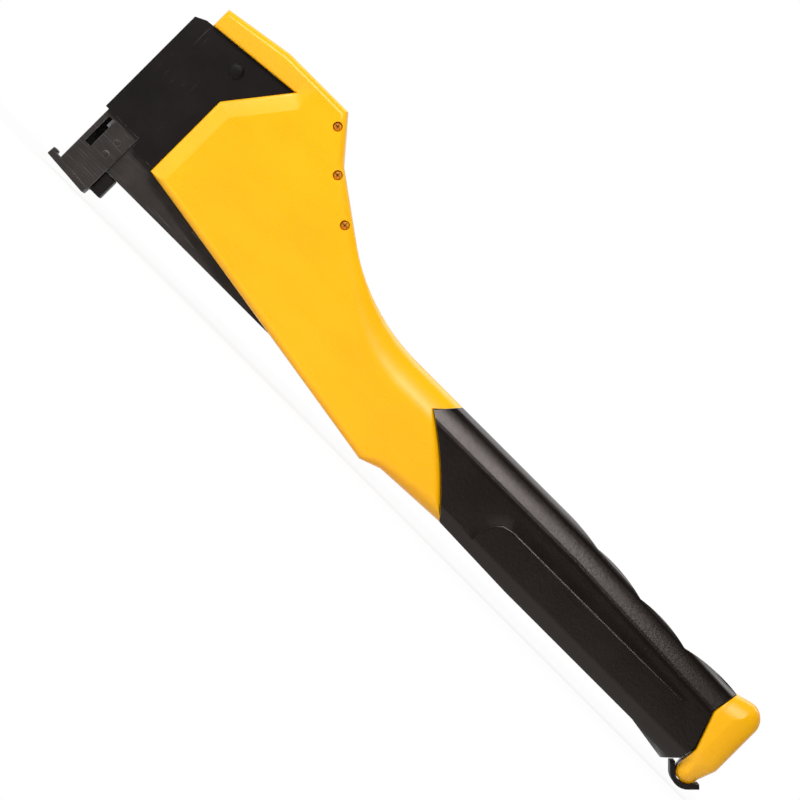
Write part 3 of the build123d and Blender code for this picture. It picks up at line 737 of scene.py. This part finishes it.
# Parts that keep their plain shape, with the width of their rounded edges in millimetres
EASED = {
    "head_frame": 0.7,
    "nose_guide": 0.5,
    "striking_foot": 0.4,
    "heel_block": 0.6,
    "magazine_channel": 0.35,
    "lift_bridge": 0.5,
    "spring_seat": 0.4,
    "driver_block": 0.6,
    "driver_blade": 0.15,
    "bumper_pad": 0.6,
    "staple_rail": 0.25,
    "follower": 0.4,
    "tail_plug": 0.6,
    "tail_latch": 0.45,
    "guide_post": 0.35,
    "pusher_rod": 0.3,
    "blade_pin": 0.2,
    "frame_dowels": 0.3,
    "pivot_pins": 0.3,
    "latch_pin": 0.25,
}


class TACKER_OT_steel_parts(bpy.types.Operator):
    """Rounds the edges of the folded, stamped and moulded parts that keep their plain shape"""

    bl_idname = "tacker.steel_parts"
    bl_label = "Steel and nylon parts"

    def execute(self, context):
        for node, width in EASED.items():
            piece = cad_copy(f"{node}_eased", node)
            soften(piece, width * MM)
            smooth(piece, EASED_CREASE)
            hand_over(piece, node)
        return {"FINISHED"}


# Geometry Nodes: a tree with named inputs, run on an empty mesh and turned into plain faces


class Growing(Nodes):
    """A geometry tree whose inputs are set by name, and that ends in Realize Instances and Set Material."""

    KINDS = {float: "NodeSocketFloat", int: "NodeSocketInt", Vector: "NodeSocketVector"}

    def __init__(self, name, **sizes):
        super().__init__(bpy.data.node_groups.new(name, "GeometryNodeTree"))
        self.name = name
        self.sizes = sizes
        panel = self.tree.interface
        panel.new_socket("Geometry", in_out="OUTPUT", socket_type="NodeSocketGeometry")
        for label, value in sizes.items():
            panel.new_socket(label, in_out="INPUT", socket_type=self.KINDS[type(value)])
        self.inputs = self.tree.nodes.new("NodeGroupInput")

    def size(self, label):
        return Flow(self.tree, self.inputs.outputs[label])

    def join(self, *parts):
        made = self.tree.nodes.new("GeometryNodeJoinGeometry")
        for part in reversed(parts):
            feed(self.tree, made.inputs[0], part)
        return Flow(self.tree, made.outputs[0])

    def lathe(self, profile, sides):
        """A turned shape about Z from (radius, height) pairs in metres, as stacked open rings."""
        parts = []
        for (low_radius, low), (high_radius, high) in zip(profile, profile[1:]):
            ring = {"Vertices": sides, "Side Segments": 1, "Radius Top": high_radius,
                    "Radius Bottom": low_radius, "Depth": high - low}
            cone = self.node("GeometryNodeMeshCone", {"fill_type": "NONE"}, ring, "Mesh")
            move = {"Geometry": cone, "Translation": (0.0, 0.0, low)}
            parts.append(self.node("GeometryNodeTransform", {}, move))
        return self.merge(self.join(*parts))

    def merge(self, shape):
        return self.node("GeometryNodeMergeByDistance", {}, {"Geometry": shape, "Distance": SAME_POINT})

    def run(self, shape, node):
        """Ends the tree with the node's finish, evaluates it and returns a plain mesh object."""
        merged = self.merge(self.node("GeometryNodeRealizeInstances", {}, {"Geometry": shape}))
        done = {"Geometry": merged, "Material": finish_of(node)}
        out = self.tree.nodes.new("NodeGroupOutput")
        feed(self.tree, out.inputs[0], self.node("GeometryNodeSetMaterial", {}, done))
        piece = new_object(self.name, bpy.data.meshes.new(self.name))
        grower = piece.modifiers.new("grow", "NODES")
        grower.node_group = self.tree
        for socket in self.tree.interface.items_tree:
            if socket.in_out == "INPUT":
                value = self.sizes[socket.name]
                grower[socket.identifier] = list(value) if isinstance(value, Vector) else value
        bake(piece)
        with editing(piece) as grown:
            bmesh.ops.remove_doubles(grown, verts=grown.verts, dist=SAME_POINT)
            bmesh.ops.recalc_face_normals(grown, faces=grown.faces)
        return piece


# Staples: bend radius in wire widths, steps of a bend, and how much of the pitch the wire fills
STAPLE_BEND = 0.9
BEND_STEPS = 3
PITCH_FILLED = 0.95


class TACKER_OT_staples(bpy.types.Operator):
    """Lays the strip of glued staples on the rail"""

    bl_idname = "tacker.staples"
    bl_label = "Staple strip"

    def execute(self, context):
        low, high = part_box("staple_strip")
        sizes = context.scene.tacker_sizes
        count = sizes.staple_count
        g = Growing("staples", Count=count, Pitch=(high.x - low.x) / count, Crown=high.y - low.y,
                    Height=high.z - low.z, Wire=sizes.staple_wire,
                    Bend=sizes.staple_wire * STAPLE_BEND, Start=low)
        pitch, wire = g.size("Pitch"), g.size("Wire")

        # The four corners of one staple: foot, shoulder, shoulder, foot
        half = (g.size("Crown") - wire) * 0.5
        rise = g.size("Height") - wire * 0.5
        index = g.node("GeometryNodeInputIndex", {}, {})
        far = index > 1.5
        foot = abs(index - 1.5) > 1.0
        bends = {"Y": half * (far * 2.0 - 1.0), "Z": rise * (1.0 - foot)}
        corner = g.node("ShaderNodeCombineXYZ", {}, bends)
        line = g.node("GeometryNodeMeshLine", {}, {"Count": 4})
        bent = g.node("GeometryNodeSetPosition", {}, {"Geometry": line, "Position": corner})
        path = g.node("GeometryNodeMeshToCurve", {}, {"Mesh": bent})
        bend = {"Curve": path, "Count": BEND_STEPS, "Radius": g.size("Bend")}
        eased = g.node("GeometryNodeFilletCurve", {"mode": "POLY"}, bend)
        square = g.node("GeometryNodeCurvePrimitiveQuadrilateral", {}, {"Width": wire, "Height": wire})
        swept = {"Curve": eased, "Profile Curve": square, "Fill Caps": True}
        one = g.node("GeometryNodeCurveToMesh", {}, swept)
        broad = {"X": pitch * PITCH_FILLED / wire, "Y": 1.0, "Z": 1.0}
        stretch = g.node("ShaderNodeCombineXYZ", {}, broad)
        one = g.node("GeometryNodeTransform", {}, {"Geometry": one, "Scale": stretch})

        # The row along the rail
        step = g.node("ShaderNodeCombineXYZ", {}, {"X": pitch})
        front = g.node("ShaderNodeSeparateXYZ", {}, {0: g.size("Start")}, "X")
        level = g.node("ShaderNodeSeparateXYZ", {}, {0: g.size("Start")}, "Z")
        start = g.node("ShaderNodeCombineXYZ", {}, {"X": front + pitch * 0.5, "Z": level})
        laid = {"Count": g.size("Count"), "Start Location": start, "Offset": step}
        row = g.node("GeometryNodeMeshLine", {}, laid)
        strip = g.node("GeometryNodeInstanceOnPoints", {}, {"Points": row, "Instance": one})
        hand_over(g.run(strip, "staple_strip"), "staple_strip")
        return {"FINISHED"}


COIL_STEPS = 24
WIRE_SIDES = 10


def helix(name, node, length, radius, wire, turns):
    """A coil spring along Z that fills the length, with its first turn at the origin."""
    g = Growing(name, Radius=radius, Wire=wire, Turns=turns, Rise=length - wire)
    path = g.node("GeometryNodeCurveSpiral", {}, {
        "Resolution": COIL_STEPS, "Rotations": g.size("Turns"), "Start Radius": g.size("Radius"),
        "End Radius": g.size("Radius"), "Height": g.size("Rise")})
    half = g.size("Wire") * 0.5
    section = {"Resolution": WIRE_SIDES, "Radius": half}
    ring = g.node("GeometryNodeCurvePrimitiveCircle", {}, section, "Curve")
    tube = g.node("GeometryNodeCurveToMesh", {}, {"Curve": path, "Profile Curve": ring, "Fill Caps": True})
    lifted = g.node("ShaderNodeCombineXYZ", {}, {"Z": half})
    return g.run(g.node("GeometryNodeTransform", {}, {"Geometry": tube, "Translation": lifted}), node)


class TACKER_OT_springs(bpy.types.Operator):
    """Winds the return spring and the feed spring, each riding on the body of the spring that it replaces
    """

    bl_idname = "tacker.springs"
    bl_label = "Springs"

    def execute(self, context):
        sizes = context.scene.tacker_sizes
        low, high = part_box("return_spring")
        middle = (low + high) / 2
        coil = helix("return_coil", "return_spring", high.z - low.z,
                     sizes.return_radius, sizes.return_wire, sizes.return_turns)
        coil.data.transform(Matrix.Translation((middle.x, 0.0, low.z)))
        smooth(coil, WIRE_CREASE)
        hand_over(coil, "return_spring")
        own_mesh(coil)

        low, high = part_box("feed_spring")
        middle = (low + high) / 2
        coil = helix("feed_coil", "feed_spring", high.x - low.x,
                     sizes.feed_radius, sizes.feed_wire, sizes.feed_turns)
        turn = Matrix.Rotation(math.radians(90.0), 4, "Y")
        coil.data.transform(Matrix.Translation((low.x, 0.0, middle.z)) @ turn)
        smooth(coil, WIRE_CREASE)
        hand_over(coil, "feed_spring")
        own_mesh(coil)
        return {"FINISHED"}


# Screws and rivets, in millimetres. A screw is (head radius, head height, shank radius), and its
# recess (length, width, depth). Tip and head are (radius, height) shares of the shank and the head.
SCREW_SPOTS = ((61.0, 85.3), (74.0, 72.3), (89.3, 60.8))
BODY_SCREW, BODY_RECESS = (1.8, 1.6, 1.1), (2.1, 0.55, 0.8)
CAP_SCREW, CAP_RECESS = (3.5, 2.2, 2.0), (4.2, 1.0, 1.3)
SCREW_TIP = [(0.0, 0.0), (0.6, 0.0), (1.0, 0.7)]
PAN_HEAD = [(1.0, 0.0), (1.0, 0.45), (0.9, 0.82), (0.68, 1.0), (0.0, 1.0)]

# The domed rivet's head is (radius, depth below its top)
DOME_SHANK = 2.0
DOME = [(3.0, 0.8), (2.9, 0.5), (2.4, 0.2), (1.5, 0.0), (0.0, 0.0)]

# Flush rivets start inside their walls and end in a small chamfer
FLUSH_RADIUS, FLUSH_TOP, FLUSH_CHAMFER = 1.25, 1.05, 0.12
FLUSH_START = 5.6
FLUSH_RIVETS = {
    "nose_rivets": ("nose_rivet_heads", ((6.0, 16.0), (6.0, 22.0))),
    "bridge_rivets": ("bridge_rivet_heads", ((54.0, 22.0), (62.0, 22.0))),
}
ROUND_SIDES = 28
FLUSH_SIDES = 20

# Turns that lay a profile's Z along the part's axis
ACROSS = (math.radians(90.0), 0.0, 0.0)
ALONG = (0.0, math.radians(90.0), 0.0)


def turn_part(name, node, profile, spots, turn, crease, recess=None, sides=ROUND_SIDES):
    """Finished copies of one turned part at each (place, facing) spot, with an optional cross recess.

    profile holds (radius, height) pairs in metres; a facing of -1 points the part the other way."""
    labels = {f"Spot {n}": Vector(place) for n, (place, _) in enumerate(spots)}
    g = Growing(name, **labels)
    shape = g.lathe(profile, sides)
    if recess:
        length, width, depth = (size * MM for size in recess)
        top = profile[-1][1]
        for size in ((length, width, 2 * depth), (width, length, 2 * depth)):
            bar = g.node("GeometryNodeMeshCube", {}, {"Size": size}, "Mesh")
            bar = g.node("GeometryNodeTransform", {}, {"Geometry": bar, "Translation": (0.0, 0.0, top)})
            cut = {"Mesh 1": shape, "Mesh 2": bar}
            shape = g.node("GeometryNodeMeshBoolean", {"operation": "DIFFERENCE"}, cut, "Mesh")
    placed = []
    for n, (_, facing) in enumerate(spots):
        way = turn if facing > 0 else tuple(angle + math.pi * (angle != 0) for angle in turn)
        move = {"Geometry": shape, "Translation": g.size(f"Spot {n}"), "Rotation": way}
        placed.append(g.node("GeometryNodeTransform", {}, move))
    piece = g.run(g.join(*placed), node)
    smooth(piece, crease)
    hand_over(piece, node)


def screw_profile(screw, length):
    """Profile of a pan-head screw of that whole length, from its tip to the top of its head."""
    radius, height, shank = (size * MM for size in screw)
    neck = length - height
    tip = [(shank * across, shank * up) for across, up in SCREW_TIP]
    head = [(radius * across, neck + height * up) for across, up in PAN_HEAD]
    return [*tip, (shank, neck), *head]


class TACKER_OT_fasteners(bpy.types.Operator):
    """Turns the screws and rivets"""

    bl_idname = "tacker.fasteners"
    bl_label = "Screws and rivets"

    def execute(self, context):
        low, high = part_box("body_screws")
        spots = [((x * MM, high.y, z * MM), 1) for x, z in SCREW_SPOTS]
        profile = screw_profile(BODY_SCREW, high.y - low.y)
        turn_part("cross_head_screws", "body_screws", profile, spots, ACROSS, SCREW_CREASE, BODY_RECESS)

        low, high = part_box("head_rivet")
        middle = tuple((low + high) / 2)
        shank = DOME_SHANK * MM
        dome = [(radius * MM, high.y - below * MM) for radius, below in DOME]
        profile = [(0.0, 0.0), (shank, 0.0), (shank, dome[0][1]), *dome]
        turn_part("domed_rivet", "head_rivet", profile, [(middle, 1), (middle, -1)], ACROSS, DOME_CREASE)

        for node, (name, places) in FLUSH_RIVETS.items():
            low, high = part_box(node)
            start = FLUSH_START * MM
            deep = high.y - start
            side = FLUSH_RADIUS * MM
            profile = [(0.0, 0.0), (side, 0.0), (side, deep - FLUSH_CHAMFER * MM), (FLUSH_TOP * MM, deep),
                       (0.0, deep)]
            spots = [((x * MM, way * start, z * MM), -way) for x, z in places for way in (-1, 1)]
            turn_part(name, node, profile, spots, ACROSS, SCREW_CREASE, sides=FLUSH_SIDES)

        low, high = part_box("cap_screw")
        spots = [((low.x, 0.0, (low.z + high.z) / 2), 1)]
        profile = screw_profile(CAP_SCREW, high.x - low.x)
        turn_part("butt_screw", "cap_screw", profile, spots, ALONG, SCREW_CREASE, CAP_RECESS)
        return {"FINISHED"}


# Properties, stage and panel


def colour_property(name, description, *levels):
    return bpy.props.FloatVectorProperty(name=name, description=description, subtype="COLOR", size=3,
                                         min=0.0, max=1.0, default=srgb(*levels)[:3])


def length_property(name, description, default, least):
    return bpy.props.FloatProperty(name=name, description=description, unit="LENGTH",
                                   default=default, min=least)


def power_property(name, description, default):
    return bpy.props.FloatProperty(name=name, description=description, unit="POWER",
                                   default=default, min=0.0)


def turns_property(name, default):
    return bpy.props.FloatProperty(name=name, description="Turns from end to end", default=default, min=1.0)


class TackerLooks(bpy.types.PropertyGroup):
    shell_colour: colour_property("Shell colour", "Moulded body halves and end cap", 250, 184, 2)
    grip_colour: colour_property("Grip colour", "Rubber sleeve and the nylon mouldings", 14, 8, 5)
    paint_colour: colour_property("Paint colour", "Stoved paint on the head frame and the latch", 14, 8, 7)
    steel_colour: colour_property("Phosphate colour", "Nose, foot and magazine sheet", 46, 41, 39)
    zinc_colour: colour_property("Zinc colour", "Screws, pins, rod, rail and staples", 200, 202, 204)
    # The body screws' darker orange is partly their passivated finish and partly painted shade of the
    # dimples they sit in
    screw_colour_and_dimple_shade: colour_property("Body screws", "Yellow passivated zinc of the body screws", 214, 140, 14)
    spring_colour: colour_property("Spring colour", "Springs and driver blade", 150, 150, 154)


class PieceSizes(bpy.types.PropertyGroup):
    staple_count: bpy.props.IntProperty(
        name="Staples", description="Staples in the strip", default=84, min=1)
    staple_wire: length_property("Staple wire", "Thickness of the staple wire", 0.9 * MM, 0.1 * MM)
    return_radius: length_property(
        "Return spring radius", "From its axis to the middle of its wire", 5.75 * MM, MM)
    return_wire: length_property("Return spring wire", "Wire diameter", 1.5 * MM, 0.1 * MM)
    return_turns: turns_property("Return spring turns", 4.5)
    feed_radius: length_property(
        "Feed spring radius", "From its axis to the middle of its wire", 2.4 * MM, MM)
    feed_wire: length_property("Feed spring wire", "Wire diameter", 0.6 * MM, 0.1 * MM)
    feed_turns: turns_property("Feed spring turns", 40.0)


class StageSettings(bpy.types.PropertyGroup):
    view_width: length_property("View width", "Width of the picture at the part", 0.304, 0.05)
    camera_distance: length_property("Camera distance", "From the camera to the middle plane", 2.4, 0.5)
    camera_roll: bpy.props.FloatProperty(
        name="Camera roll", description="Turn of the picture about the view axis",
        subtype="ANGLE", default=math.radians(45.0))
    picture_middle: bpy.props.FloatVectorProperty(
        name="Picture middle", description="Point of the part in the middle of the picture",
        subtype="XYZ", size=3, default=(0.1507, 0.0, 0.0289))
    floor_size: length_property("Floor size", "Side of the plain floor", 1.2, 0.5)
    strip_power: power_property("Strip light", "Power of the long light above the camera", 21.0)
    fill_power: power_property("Fill light", "Power of the large light on the head's side", 5.0)
    top_power: power_property("Top light", "Power of the long light above", 9.0)


# Lights: property of the power, width, height, and offset from the picture's middle in metres
SOFTBOXES = {
    "strip_light": ("strip_power", 1.6, 0.27, (-0.57, -1.12, 0.90)),
    "fill_light": ("fill_power", 1.1, 1.1, (-1.25, -1.1, 0.45)),
    "top_light": ("top_power", 1.2, 0.9, (0.25, 0.5, 1.4)),
}

# Floor: gap below the part in metres, paint, whiteness beside the part, and the distances from the
# picture's middle between which it turns fully white
FLOOR_GAP = 0.0015
FLOOR_PAINT = 0.85
FLOOR_WHITE_BESIDE = 0.86
FLOOR_FADE_STARTS, FLOOR_FADE_ENDS = 0.22, 0.5

# Background: its light on the part, and its level in reflections, which rises to white behind the
# part between two values of the direction's Y
WORLD_LIGHT = 0.26
FRONT_LEVEL = 0.08
BACKDROP_STARTS, BACKDROP_FULL = -0.1, 0.6

SENSOR_WIDTH = 36.0
CLIP_START, CLIP_END = 0.05, 50.0


class TACKER_OT_stage(bpy.types.Operator):
    """Sets up the floor, the lights, the background and the camera"""

    bl_idname = "tacker.stage"
    bl_label = "Stage"

    def execute(self, context):
        scene = context.scene
        stage = scene.tacker_stage
        scene.view_settings.view_transform = "Standard"
        self.floor(stage)
        self.background(scene)
        middle = Vector(stage.picture_middle)
        for name, (power, width, height, offset) in SOFTBOXES.items():
            self.softbox(name, getattr(stage, power), width, height, middle, Vector(offset))
        self.camera(scene, stage, middle)
        return {"FINISHED"}

    def floor(self, stage):
        half = stage.floor_size / 2
        level = CAD_BOX[0][2] - FLOOR_GAP
        turns = ((-1, -1), (1, -1), (1, 1), (-1, 1))
        corners = [(x * half, y * half, level) for x, y in turns]
        mesh = bpy.data.meshes.new("floor")
        mesh.from_pydata(corners, [], [(0, 1, 2, 3)])
        floor = new_object("floor", mesh)
        material = bpy.data.materials.new("pale_floor")
        material.use_nodes = True
        s = Shading(material.node_tree)
        matte = s.node("ShaderNodeBsdfDiffuse", {}, {"Color": grey(FLOOR_PAINT)})
        lit = s.node("ShaderNodeEmission", {}, {"Color": grey(1.0), "Strength": 1.0})
        place = s.node("ShaderNodeTexCoord", {}, {}, "Object")
        ends = {0: place, 1: stage.picture_middle}
        away = s.node("ShaderNodeVectorMath", {"operation": "DISTANCE"}, ends, "Value")
        ranged = {"Value": away, "From Min": FLOOR_FADE_STARTS, "From Max": FLOOR_FADE_ENDS,
                  "To Min": FLOOR_WHITE_BESIDE, "To Max": 1.0}
        eased = {"clamp": True, "interpolation_type": "SMOOTHSTEP"}
        white = s.node("ShaderNodeMapRange", eased, ranged)
        s.node("ShaderNodeOutputMaterial", {}, {"Surface": s.blend(s.seen() * white, matte, lit)})
        mesh.materials.append(material)

    def background(self, scene):
        world = bpy.data.worlds.new("studio")
        scene.world = world
        world.use_nodes = True
        s = Shading(world.node_tree)
        way = s.node("ShaderNodeTexCoord", {}, {}, "Generated")
        behind = s.node("ShaderNodeSeparateXYZ", {}, {"Vector": way}, "Y")
        ranged = {"Value": behind, "From Min": BACKDROP_STARTS, "From Max": BACKDROP_FULL,
                  "To Min": FRONT_LEVEL, "To Max": 1.0}
        backdrop = s.node("ShaderNodeMapRange", {"clamp": True}, ranged).at_least(s.ray("Camera"))
        soft = s.node("ShaderNodeBackground", {}, {"Color": grey(1.0), "Strength": WORLD_LIGHT})
        white = s.node("ShaderNodeBackground", {}, {"Color": grey(1.0), "Strength": backdrop})
        s.node("ShaderNodeOutputWorld", {}, {"Surface": s.blend(s.seen(), soft, white)})

    def softbox(self, name, power, width, height, target, offset):
        lamp = bpy.data.lights.new(name, "AREA")
        lamp.shape = "RECTANGLE"
        lamp.size = width
        lamp.size_y = height
        lamp.energy = power
        light = new_object(name, lamp)
        light.location = target + offset
        light.rotation_mode = "QUATERNION"
        light.rotation_quaternion = (-offset).to_track_quat("-Z", "Y")

    def camera(self, scene, stage, middle):
        lens = bpy.data.cameras.new("photo_camera")
        lens.sensor_width = SENSOR_WIDTH
        lens.lens = lens.sensor_width * stage.camera_distance / stage.view_width
        lens.clip_start = CLIP_START
        lens.clip_end = CLIP_END
        turn = stage.camera_roll
        right = Vector((math.cos(turn), 0.0, math.sin(turn)))
        up = Vector((-math.sin(turn), 0.0, math.cos(turn)))
        back = right.cross(up)
        placed = Matrix((right, up, back)).transposed().to_4x4()
        placed.translation = middle + back * stage.camera_distance
        camera = new_object("photo_camera", lens)
        camera.matrix_world = placed
        scene.camera = camera


class TACKER_PT_panel(bpy.types.Panel):
    """Lists the steps that dress the tacker"""

    bl_idname = "TACKER_PT_panel"
    bl_label = "Hammer tacker"
    bl_space_type = "VIEW_3D"
    bl_region_type = "UI"
    bl_category = "Tacker"

    def draw(self, context):
        for held in GROUPS:
            group = getattr(context.scene, held)
            for name in group.__annotations__:
                self.layout.prop(group, name)
        for operator in STEPS:
            self.layout.operator(operator.bl_idname)


GROUPS = {"tacker_looks": TackerLooks, "tacker_sizes": PieceSizes, "tacker_stage": StageSettings}
STEPS = (
    TACKER_OT_stage,
    TACKER_OT_shells,
    TACKER_OT_grip,
    TACKER_OT_end_cap,
    TACKER_OT_steel_parts,
    TACKER_OT_staples,
    TACKER_OT_springs,
    TACKER_OT_fasteners,
)
CLASSES = (*GROUPS.values(), *STEPS, TACKER_PT_panel)


def register():
    for made in CLASSES:
        bpy.utils.register_class(made)
    for name, group in GROUPS.items():
        setattr(bpy.types.Scene, name, bpy.props.PointerProperty(type=group))


def unregister():
    for name in reversed(GROUPS):
        delattr(bpy.types.Scene, name)
    for made in reversed(CLASSES):
        bpy.utils.unregister_class(made)


def main():
    register()
    for operator in STEPS:
        family, step = operator.bl_idname.split(".")
        getattr(getattr(bpy.ops, family), step)()


if __name__ == "__main__":
    main()
